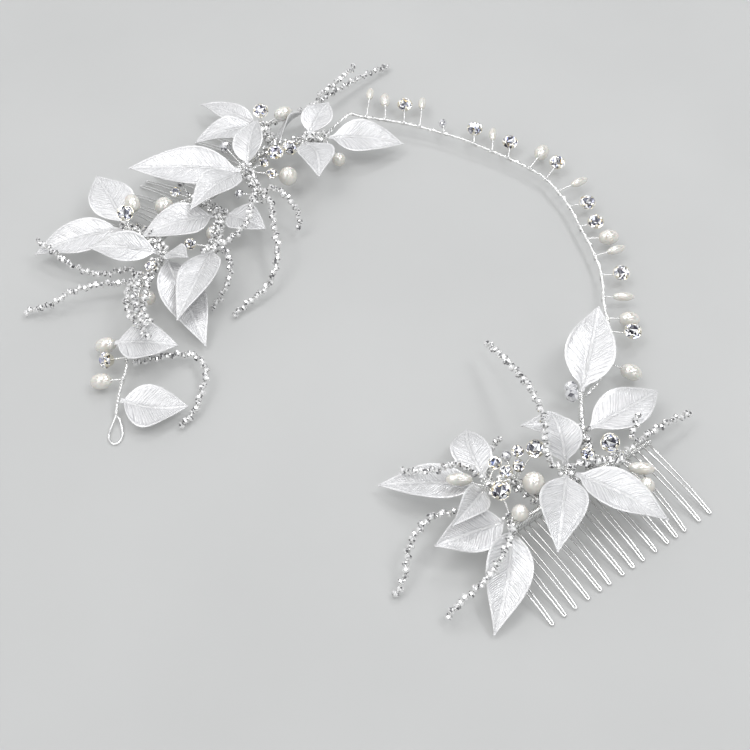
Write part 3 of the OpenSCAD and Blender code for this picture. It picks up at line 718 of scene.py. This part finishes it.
def makeCup():  # a claw cup for a stone 1 across
    deselect()
    depth = cupShape["top"] - cupShape["bottom"]
    bpy.ops.mesh.primitive_cylinder_add(vertices=cupShape["sides"], radius=cupShape["rim"], depth=depth,
                                        location=(0, 0, cupShape["bottom"] + depth / 2))
    cup = named("cup")
    bpy.ops.object.transform_apply(location=True)
    for vertex in cup.data.vertices:
        if vertex.co.z < 0:
            vertex.co.xy *= cupShape["base"] / cupShape["rim"]
    top = max(cup.data.polygons, key=lambda face: face.center.z).index
    for face in cup.data.polygons:
        face.select = face.index == top
    toMode("EDIT")
    bpy.ops.mesh.select_mode(type="FACE")
    bpy.ops.mesh.inset(thickness=cupShape["wall"])
    extrude(*cupShape["well"])
    toMode("OBJECT")
    clawAt, within = cupShape["clawAt"]
    for face in cup.data.polygons:  # claws stand on the rim
        angle = math.degrees(math.atan2(face.center.y, face.center.x)) % (360 / cupShape["claws"])
        onRim = face.normal.z > cupShape["upward"] and face.center.z > cupShape["top"] - cupShape["wall"]
        face.select = onRim and abs(angle - clawAt) < within
    toMode("EDIT")
    for step in cupShape["claw"]:
        extrude(*step)
    faceOutwards()
    bpy.ops.object.shade_smooth_by_angle(angle=math.radians(cupShape["creaseDeg"]))
    return cup


def makeCrystal():  # a small faceted round crystal, 1 across, its axis along Z
    deselect()
    bpy.ops.mesh.primitive_ico_sphere_add(subdivisions=2, radius=0.5)
    crystal = named("crystal")
    crystal.data.shade_flat()
    return crystal


seedBead = makeBead("seedBead", seedShape)
seedBead.data.shade_flat()
pearlBead = makeBead("pearlBead", pearlShape)
bpy.ops.object.shade_smooth()
gem, cup, crystal = makeGem(), makeCup(), makeCrystal()

# a kind of bead: its size across and along, mm
stones = {"stone": (6.4, 6.4), "smallStone": (4.4, 4.4)}
crystals = {"crystal": (3.6, 3.6), "largeCrystal": (4.8, 4.8)}
pearls = {"slimPearl": (3.2, 8), "ricePearl": (4.2, 8.6), "ovalPearl": (5.6, 7.8), "roundPearl": (7.2, 7.2),
          "smallPearl": (5.4, 5.4)}
# kinds of bead, master, how far it is turned more, finish, slot, whether its facets get painted glints
beadPieces = {
    "Cups": (stones, cup, 0, paleGold, "silver_wire", False),
    "Gems": (stones, gem, 0.4, cutStone, "crystal", True),
    "Crystals": (crystals, crystal, 0, clearGlass, "crystal", True),
    "Pearls": (pearls, pearlBead, 0, pearlCoat, "pearl", False)}


# knot or None, distance of the end from the knot, route
sprays = {
    "spray_r1": ("rightMid", 1, [
        (65, -73.5, 14), (63, -71.5, 19), (62.5, -66, 24), (61, -57, 24), (58, -46, 21), (53, -33, 16),
        (48, -21, 11)]),
    "spray_r2": ("rightEnd", 0, [(91, -65, 10), (96, -61, 11), (104, -54, 9), (114, -47, 6)]),
    "spray_r2_fork": (None, 0, [(91, -63.5, 12.9), (93, -59, 14.3), (94, -54, 14.3)]),
    "spray_r3": ("rightLeft", 1, [(41, -76, 13), (35, -76, 17), (29, -77, 15), (18, -74, 10)]),
    "spray_r4": ("rightLeft", 1.2, [
        (36.5, -85.5, 5.5), (28, -90, 9), (23, -96, 10), (20, -102, 8), (19, -109, 5), (16, -114, 1.5)]),
    "spray_r5": ("rightFront", 1.2, [
        (51.5, -97, 13), (50, -103, 15), (47, -109, 14.5), (43, -114, 12), (37, -118, 8), (31, -122, 3)]),
    "spray_r6": ("rightLeft", 0.6, [(46.5, -72, 4), (45.5, -66, 3.5), (47.5, -60.5, 4.5), (51, -57.5, 6)]),
    "spray_r7": ("rightMid", 0, [(75, -73, 13.5), (81.5, -72.5, 14), (88, -72, 13)]),
    "spray_l1": ("leftBack", 0.3, [
        (-27, 102, 6), (-18, 107, 7), (-9, 116, 6.5), (0, 126, 5.5), (8, 134, 4), (16, 141, 2.5)]),
    "spray_l1_fork": (None, 0, [(-13, 112, 9.7), (-7, 118, 10.4), (-2, 123, 12), (2, 127, 13)]),
    "spray_l2": ("leftSprays", 1, [
        (-28, 53.5, 13.5), (-24, 50.5, 13.5), (-21, 47.5, 12), (-18.5, 45, 9), (-18, 41, 4)]),
    "spray_l3": ("leftSprays", 0.6, [
        (-28.5, 47.5, 12), (-27, 36, 13), (-25, 23, 9), (-28, 12, 5), (-35, 5, 3), (-40, 0, 1.5)]),
    "spray_l4": ("leftSprays", 0.6, [
        (-35, 48, 13.5), (-36, 33, 16), (-40, 26, 16), (-44, 23, 15), (-52, 21, 13)]),
    "spray_l5": ("leftInner", 0, [
        (-44, 23, 11.5), (-42, 18, 12.5), (-41, 13, 12), (-42, 9, 9), (-45, 5, 5), (-48, 3, 2)]),
    "spray_l6": ("leftTail", 0.6, [
        (-79, 18, 6.5), (-87, 17, 5), (-95, 18, 6), (-102, 21, 8.5), (-108, 26, 9.5), (-113, 30, 9)]),
    "spray_l7": ("leftTail", 1.2, [(-78, 10.5, 7.5), (-88, 9, 8), (-98, 6, 7), (-103, 3, 5), (-114, 1, 2)]),
    "spray_l8a": ("leftTail", 2.2, [(-75.5, 7.5, 11.5), (-76, -2, 12), (-73, -12, 14), (-66, -21, 13)]),
    "spray_l8b": ("leftTail", 0.6, [(-70, 8, 10.5), (-70, -2, 12), (-69, -10, 14), (-66, -14.5, 14)]),
    "spray_l8c": (None, 0, [(-72.8, 6.5, 14), (-73, -2, 14.3), (-71, -11, 17), (-66.8, -18, 16.5)]),
    "spray_l9": (None, 0, [
        (-72.2, -25.3, 5.2), (-68.5, -22.8, 4), (-62, -20.5, 3.5), (-55, -19.5, 3.5), (-50.8, -21.3, 4),
        (-47.6, -26.7, 5), (-46.9, -31.5, 5), (-48, -37, 4.5), (-49.7, -43.7, 3), (-54.3, -49.7, 1.5)]),
}
# bead: diameter; beadLong: length; sizes and lengths: the range of each
stringing = {
    "bead": 2.45, "beadLong": 2.0, "pitch": 1.9, "wire": (0.34, 0.42, 4.8, 2, 12, 4), "endRoom": 0.2,
    "jitter": 0.08, "tilt": 0.14, "sizes": (0.9, 1.05), "lengths": (0.85, 1.05), "step": 0.2}


def beadPlaces(points, endRoom, scale=1.0):  # each a little turned and off the line
    step = stringing["step"]
    aside, turnPitch = stringing["wire"][1:3]
    points = evenRoute(points, step)
    ahead, side, up = sidesAlong(points)
    length = step * (len(points) - 1)
    first = stringing["beadLong"] / 2 * scale - endRoom
    count = max(1, int((length - 2 * first) / (stringing["pitch"] * scale)) + 1)
    places = []
    for stop in np.linspace(first, length - first, count):
        i = min(len(points) - 1, max(0, round((stop + draws.normal() * stringing["jitter"]) / step)))
        angle = 2 * math.pi * stop / turnPitch
        middle = points[i] + (math.cos(angle) * side[i] + math.sin(angle) * up[i]) * aside * scale
        size = stringing["bead"] * scale * draws.uniform(*stringing["sizes"])
        tilt = unit(ahead[i]) + draws.normal(size=3) * stringing["tilt"]
        turn = draws.uniform(0, anyTurn)
        long = stringing["beadLong"] * scale * draws.uniform(*stringing["lengths"])
        places.append((seedBead, middle, tilt, turn, (size, size, long)))
    return places


def makeSpray(name, row):
    knotName, distance, route = row
    if knotName:
        place, diameter = knots[knotName]
        start = place + unit(np.subtract(route[0], place)) * (diameter / 2 + pieceGap + distance)
        route = [start, *route]
    points = smoothRoute(route, routeSteps)
    beads = copiesAt(name + "Beads", beadPlaces(points, stringing["endRoom"]))
    glintFacets(beads)
    finished(beads, seedGlass, "seed_beads", name)
    strung = np.vstack([[place], points]) if knotName else points
    wirePiece(name + "Wire", stringing, {"wire": wound(strung, stringing["wire"])}, silverWire)
    return len(beads.data.polygons)


seedFaces = sum(makeSpray(name, row) for name, row in sprays.items())
print("sprays made:", len(sprays), "with", seedFaces, "facets")


def makeComb(side, node):
    (x, y), deg = comb[side]
    turn = math.radians(deg)
    along = np.array([math.cos(turn), math.sin(turn), 0])
    out = np.array([math.sin(turn), -math.cos(turn), 0])  # the teeth point this way
    middle = np.array([x, y, spineHeight])
    pitch = comb["width"] / comb["teeth"]
    angles = np.linspace(comb["startAngle"], curve, comb["toothSteps"])
    reach, drop = comb["curveRadius"] * np.sin(angles), comb["curveRadius"] * (np.cos(angles) - 1)
    share = reach / reach[-1]
    tipRadius = comb["toothGap"] / 2 - comb["pinch"]
    bend = np.linspace(math.pi, 0, comb["tipSteps"])[1:-1]
    teeth = []
    for i in range(comb["teeth"]):
        offset = pitch * (i + 0.5 - comb["teeth"] / 2)
        sway = draws.normal() * comb["sway"]
        legs = []
        for hand in (-1, 1):
            bow = hand * (comb["toothGap"] / 2 - comb["pinch"] * share) + sway * share ** 2
            leg = middle + np.outer(offset + bow, along) + np.outer(reach, out)
            legs.append(leg + np.outer(drop, (0, 0, 1)))
        tip = (legs[0][-1] + legs[1][-1]) / 2
        ahead = unit(legs[0][-1] - legs[0][-2])
        hook = tip + tipRadius * (np.outer(np.cos(bend), along) + np.outer(np.sin(bend), ahead))
        teeth.append(np.vstack([legs[0], hook, legs[1][::-1]]))
    spine = [middle - along * comb["width"] / 2, middle + along * comb["width"] / 2]
    paths = {"tooth": teeth, "spine": [np.linspace(*spine, comb["spineSteps"])],
             "winding": wound(spine, comb["winding"])}
    wirePiece(node + "Wires", comb, paths, combSilver, node)


makeComb("right", "comb_right")
makeComb("left", "comb_left")
print("combs made")


def makeVine():
    points = smoothRoute(vine["route"], wireSteps)
    thread = wound(points, vine["thread"], vine["threadTurn"])
    paths = {"strands": wound(points, vine["strands"]), "thread": thread}
    wirePiece("vineTwist", vine, paths, silverWire, "vine_wire")


def makeTail():
    points = smoothRoute(tail["route"], wireSteps)
    foot = tail["route"][-1]
    neck = evenRoute(points, tail["neckStep"])[-tail["neckPoints"]:]
    eye = smoothRoute([foot, *tail["eye"], foot], routeSteps)
    paths = {"strands": wound(points, tail["strands"]), "eyeWire": [eye], "neck": wound(neck, tail["neck"])}
    wirePiece("tailTwist", tail, paths, silverWire, "tail_wire")


makeVine()
makeTail()
print("long wires made")


# kind, place along the route in points, middle, the way a stone faces if not the usual one
dropRows = {
    "vine_drops_back": (vine["route"], [
        ("slimPearl", 3.4, (8, 119, 5)), ("ricePearl", 4.4, (14, 115, 5)), ("stone", 5.3, (22, 112, 5)),
        ("slimPearl", 6.1, (29, 113, 5)), ("crystal", 7.4, (37, 100.5, 5)), ("stone", 9.1, (49.5, 97, 5)),
        ("slimPearl", 10.1, (56.5, 94, 5)), ("stone", 11.1, (63, 89, 5))]),
    "vine_drops_side": (vine["route"], [
        ("ovalPearl", 12.1, (75, 83, 5)), ("stone", 13.1, (80.5, 77, 5)), ("slimPearl", 14.1, (88, 66, 5)),
        ("stone", 15, (90, 54.5, 5)), ("stone", 16, (92, 44, 5)), ("ovalPearl", 16.6, (96, 36, 5)),
        ("slimPearl", 17.4, (98, 29.5, 5)), ("stone", 18.3, (98.5, 17.5, 5)), ("slimPearl", 19.5, (98, 6, 5)),
        ("ovalPearl", 21, (99, -4, 4)), ("stone", 22, (99, -11.5, 6)), ("ovalPearl", 24, (96.5, -29, 5))]),
    "tail_drops": (tail["route"], [
        ("ovalPearl", 3, (-82.6, -16.5, 4.5)), ("stone", 4, (-81.2, -24, 5.5), (-0.8, -0.5, 0.6)),
        ("ovalPearl", 5.7, (-82.2, -32.2, 4))]),
}
# kind, knot, middle, the way it faces if not straight up
clusterBeads = {
    "right_bundle": [
        ("stone", "rightStones", (60.6, -67, 12.5), (0, -0.4, 1)),
        ("smallStone", "rightLeft", (47.5, -72.8, 13), (-0.3, -0.5, 1)),
        ("smallStone", "rightStones", (55, -67.6, 12), (0, -0.2, 1)),
        ("smallStone", "rightStones", (54.7, -74.3, 13.5), (0.4, -0.5, 1)),
        ("smallStone", "rightStones", (50.6, -77.3, 14.5), (-0.2, -0.5, 1)),
        ("crystal", "rightStones", (51.2, -69.6, 12.2)),
        ("stone", "rightFront", (48.5, -84, 14), (0, -0.6, 1)),
        ("smallStone", "rightEnd", (77, -68, 11.5), (-0.2, -0.3, 1)),
        ("stone", "rightEnd", (84, -66, 14.5), (0, -0.6, 1)),
        ("largeCrystal", "rightVine", (74.3, -45.1, 12.6)),
        ("largeCrystal", "rightVine", (74.6, -39.6, 9.6)), ("roundPearl", "rightStones", (59, -80.5, 13)),
        ("smallPearl", "rightFront", (54, -92, 13.5)),
        ("ricePearl", "rightLeft", (36, -79.5, 13.5), (1, 0, 0)),
        ("ricePearl", "rightEnd", (94, -72, 9), (1, -0.1, 0)), ("smallPearl", "rightEnd", (95, -78, 8))],
    "left_bundle": [
        ("stone", "leftBack", (-35, 99.5, 12), (0, -0.4, 1)),
        ("ovalPearl", "leftBack", (-26, 98, 12), (1, 0.5, 0)), ("largeCrystal", "leftFan", (-48, 82, 8.6)),
        ("stone", "leftStub", (-28, 75, 12), (0, -0.4, 1)),
        ("stone", "leftStub", (-23, 81, 9), (0.3, -0.3, 1)),
        ("smallStone", "leftFan", (-29, 64, 11), (0.3, -0.4, 1)), ("roundPearl", "leftFan", (-23, 66, 8)),
        ("smallPearl", "leftVine", (-4, 79.5, 4.5)), ("crystal", "leftSprays", (-41, 55, 9)),
        ("stone", "leftOut", (-80.5, 37, 16), (0, -0.5, 1)),
        ("ovalPearl", "leftOut", (-79, 44.5, 14), (-0.4, 1, 0.2)),
        ("roundPearl", "leftTeeth", (-68, 47, 10)), ("smallStone", "leftTeeth", (-65, 57, 8), (0, -0.3, 1)),
        ("crystal", "leftTeeth", (-63.5, 61.5, 9)),
        ("smallStone", "leftFan", (-32.5, 72.5, 9), (0.4, -0.3, 1)),
        ("smallPearl", "leftMid", (-49.5, 36, 7)),
        ("smallStone", "leftInner", (-56.5, 25.8, 11.5), (0.4, -0.8, 1)),
        ("smallStone", "leftFront", (-70, 17, 9), (0, -0.3, 1)), ("smallPearl", "leftTail", (-70, 4.5, 6))],
}
# short and below: how far a stem ends from a stone's middle, in shares of its width
stem = {"wire": (0.36, 0.18, 1.3, 2, 7, 6), "points": 6, "short": 0.3, "below": 0.12}


def stemWires(start, kind, middle, direction):  # a twisted pair
    end = np.array(middle, float)
    if kind in stones:
        short = unit(np.subtract(end, start)) * stem["short"] + unit(direction) * stem["below"]
        end = end - short * stones[kind][0]
    return wound(np.linspace(start, end, stem["points"]), stem["wire"])


def makeBeads(name, rows):  # rows: kind, middle, direction
    turns = draws.uniform(0, anyTurn, len(rows))
    for label, (kinds, master, more, material, slotName, glinted) in beadPieces.items():
        places = [(master, middle, direction, turn + more, (kinds[kind][0], *kinds[kind]))
                  for (kind, middle, direction), turn in zip(rows, turns) if kind in kinds]
        if places:
            piece = copiesAt(name + label, places)
            # painted glints and painted reflections on the facets
            if glinted:
                glintFacets(piece)
            finished(piece, material, slotName)


# a stem rises from a coil on the wire; coilHalf is half its length
drop = {
    "coil": (0.3, 0.75, 0.36, 1, 8, 4), "coilHalf": 1.1, "over": 0.9, "near": 0.12, "facing": (0, -0.3, 1),
    "stem": stem["wire"]}


def makeDrops(name, route, rows):
    stems, coils, beads = [], [], []
    for kind, t, middle, *facing in rows:
        foot = alongRoute(route, t)
        over = foot + (0, 0, drop["over"])
        direction = facing[0] if facing else drop["facing"] if kind == "stone" else np.subtract(middle, over)
        stems += stemWires(over, kind, middle, direction)
        ahead = alongRoute(route, t + drop["near"]) - alongRoute(route, t - drop["near"])
        half = unit(ahead) * drop["coilHalf"]
        coils += wound([foot - half, foot + half], drop["coil"])
        beads.append((kind, middle, direction))
    wirePiece(name + "Stems", drop, {"stem": stems, "coil": coils}, silverWire, name)
    makeBeads(name, beads)


for name, (route, rows) in dropRows.items():
    makeDrops(name, route, rows)
print("drops made")


# posts: a knot and where its stalk starts along the comb; stalks: from knot to knot
bundles = {
    "right_bundle": {
        "side": "right", "ends": (-22, 20),
        "posts": [("rightStalk", 10), ("rightMid", 2), ("rightEnd", 20), ("rightStones", -10),
                  ("rightFront", -22)],
        "stalks": [("rightVine", "rightStalk"), ("rightStones", "rightLeft")]},
    "left_bundle": {
        "side": "left", "ends": (-31, 31),
        "posts": [("leftStub", -28), ("leftFan", -20), ("leftMid", 1), ("leftTeeth", 0), ("leftFront", 28),
                  ("leftOut", 26)],
        "stalks": [("leftStub", "leftPair"), ("leftPair", "leftVine"), ("leftStub", "leftBack"),
                   ("leftFan", "leftSprays"), ("leftMid", "leftInner"), ("leftFront", "leftTail")]},
}
# binding and coil are the same wire; a leaf's stem runs this share of its length, this far below it
bound = {
    "core": (2.2, 8), "coreSteps": 24, "binding": (0.4, 1.28, 0.55, 1, 12, 6),
    "strand": (0.62, 0.5, 5.0, 3, 12, 6), "strandSteps": 10, "coil": (0.4, 0.95, 0.5, 1, 8, 6),
    "ball": (0.42, 6), "ballTurns": 7, "ballPoints": 10, "ballRun": (0.08, 0.92), "ballTilt": (0.3, 1.4),
    "leafStem": (0.5, 0.28, 1.8, 2, 8, 6), "leafStemRun": 0.16, "leafStemSteps": 6, "leafStemBelow": 0.35,
    "beadStem": stem["wire"]}


def knotWinding(place, diameter):  # wire wound in a ball
    turns = bound["ballTurns"]
    t = np.linspace(*bound["ballRun"], turns * bound["ballPoints"])
    lat, lon = np.pi * t, 2 * np.pi * turns * t
    radius = (diameter - bound["ball"][0]) / 2
    ball = np.stack([np.sin(lat) * np.cos(lon), np.sin(lat) * np.sin(lon), np.cos(lat)], axis=1) * radius
    tilt = np.array(Matrix.Rotation(draws.uniform(*bound["ballTilt"]), 3, Vector(draws.normal(size=3))))
    return place + ball @ tilt.T


# winding: only its route is used; clearDeg: from leaves, sprays and stems; beadDeg: from bead to bead; sunk
# and squash: a bead's middle from the knot and its length, in shares of its width
packing = {
    "scale": 0.82, "winding": (0, 1.75, 3.3, 1, 14, 0), "step": 0.5, "ends": 3, "tries": 60, "onKnot": 7,
    "bareKnots": ("rightVine",), "clearDeg": 38, "beadDeg": 46, "sunk": 0.46, "squash": 0.9}


def apartFrom(direction, others, deg):
    return all(np.dot(direction, other) < math.cos(math.radians(deg)) for other in others)


def packedSeeds(side, ropes, rows):  # wound round the stalks and crowded on the knots
    places = []
    for rope in ropes:
        if any(np.allclose(end, knots[name][0]) for end in rope for name in packing["bareKnots"]):
            continue
        line = evenRoute(np.array(rope, float), packing["step"])[packing["ends"]:-packing["ends"]]
        if len(line) > packing["ends"]:
            turns = wound(line, packing["winding"], draws.uniform(0, anyTurn))[0]
            places += beadPlaces(turns, 0, packing["scale"])
    size = stringing["bead"] * packing["scale"]
    for name, (place, diameter) in knots.items():
        if not name.startswith(side) or name in packing["bareKnots"]:
            continue
        ends = [leafRow[1] for leafRow in leaves.values() if leafRow[0] == name]
        ends += [sprayRow[2][0] for sprayRow in sprays.values() if sprayRow[0] == name]
        ends += [bead[2] for bead in rows if bead[1] == name]
        ends += [b if np.allclose(a, place) else a for a, b in ropes
                 if np.allclose(a, place) or np.allclose(b, place)]
        taken = [unit(np.subtract(end, place)) for end in ends]
        kept = []
        for direction in draws.normal(size=(packing["tries"], 3)):
            direction = unit(direction)
            clear = apartFrom(direction, taken, packing["clearDeg"])
            if clear and apartFrom(direction, kept, packing["beadDeg"]) and len(kept) < packing["onKnot"]:
                kept.append(direction)
        for direction in kept:
            middle = place + direction * (diameter / 2 + size * packing["sunk"])
            axis = np.cross(direction, draws.normal(size=3))
            places.append((seedBead, middle, axis, 0.0, (size, size, size * packing["squash"])))
    return places


def leafStemWires(side):  # a twisted pair under the foot of each leaf
    wires = []
    for row in leaves.values():
        if row[0].startswith(side):
            root, axis, _, normal, length = leafFrame(row)
            share = np.linspace(0, bound["leafStemRun"], bound["leafStemSteps"])
            height = row[4] * np.sin(np.pi * share) - bound["leafStemBelow"]
            under = root + np.outer(length * share, axis) + np.outer(height, normal)
            wires += wound([knots[row[0]][0], *under], bound["leafStem"])
    return wires


def makeBundle(node, row):
    side = row["side"]
    binding = np.linspace(*[onComb(side, along, bindingHeight) for along in row["ends"]], bound["coreSteps"])
    ropes = [(onComb(side, along, bindingHeight), knots[name][0]) for name, along in row["posts"]]
    ropes += [(knots[first][0], knots[second][0]) for first, second in row["stalks"]]
    coils, strands = wound(binding, bound["binding"]), []
    for a, b in ropes:
        line = np.linspace(a, b, bound["strandSteps"])
        strands += wound(line, bound["strand"], draws.uniform(0, anyTurn))
        third = len(line) // 3
        coils += wound(line[third:-third], bound["coil"])
    seeds = packedSeeds(side, ropes, clusterBeads[node])
    balls = [knotWinding(*knot) for name, knot in knots.items() if name.startswith(side)]
    beadStems, beads = [], []
    for kind, knotName, middle, *facing in clusterBeads[node]:
        direction = facing[0] if facing else (0, 0, 1)
        beadStems += stemWires(knots[knotName][0], kind, middle, direction)
        beads.append((kind, middle, direction))
    paths = {"core": [binding], "strand": strands, "coil": coils, "ball": balls,
             "leafStem": leafStemWires(side), "beadStem": beadStems}
    wirePiece(node + "Wires", bound, paths, silverWire, node)
    packed = copiesAt(node + "Seeds", seeds)
    glintFacets(packed)
    finished(packed, seedGlass, "seed_beads")
    makeBeads(node, beads)


for node, row in bundles.items():
    makeBundle(node, row)
print("clusters made")

for master in (seedBead, pearlBead, gem, cup, crystal):
    bpy.data.objects.remove(master)

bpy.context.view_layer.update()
triangles = sum(len(face.vertices) - 2 for piece in bpy.context.scene.objects
                if piece.type == "MESH" and not piece.hide_render for face in piece.data.polygons)
print("triangles shown:", triangles)
